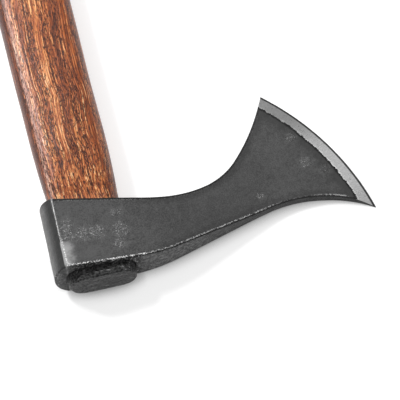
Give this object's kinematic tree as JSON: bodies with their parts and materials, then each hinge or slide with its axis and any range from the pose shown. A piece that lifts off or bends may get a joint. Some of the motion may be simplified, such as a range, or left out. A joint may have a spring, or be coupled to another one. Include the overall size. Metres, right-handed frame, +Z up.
{
  "type": "broad axe",
  "caption": "Single-handed broad axe with a flared blade, a blackened forged head and a stained hardwood handle wedged in the eye.",
  "frame": {"origin": "on the flat of the lower cheek, under the middle of the eye", "axes": "+X from the eye to the cutting edge, +Y along the tenon towards the butt, with the handle below the head leaning 1.3 degrees from it, +Z up, square to the axe's middle plane, which each cheek leans 7 degrees from; the axe lies on its side"},
  "size_m": [0.1788, 0.48, 0.0316],
  "materials": {
    "blackened_steel": "blackened satin steel with fine mottling, worn ridges and a bright ground edge",
    "stained_wood": "red-brown stained ash with long open grain, satin oil finish, black paint on the end grain",
    "wedge_wood": "hardwood, painted black with the handle's end",
    "wedge_steel": "mild steel, painted black with the handle's end"
  },
  "bodies": {
    "root": {"axe_head": "blackened_steel", "handle": "stained_wood", "wooden_wedge": "wedge_wood", "steel_wedge": "wedge_steel"}
  },
  "joints": []
}
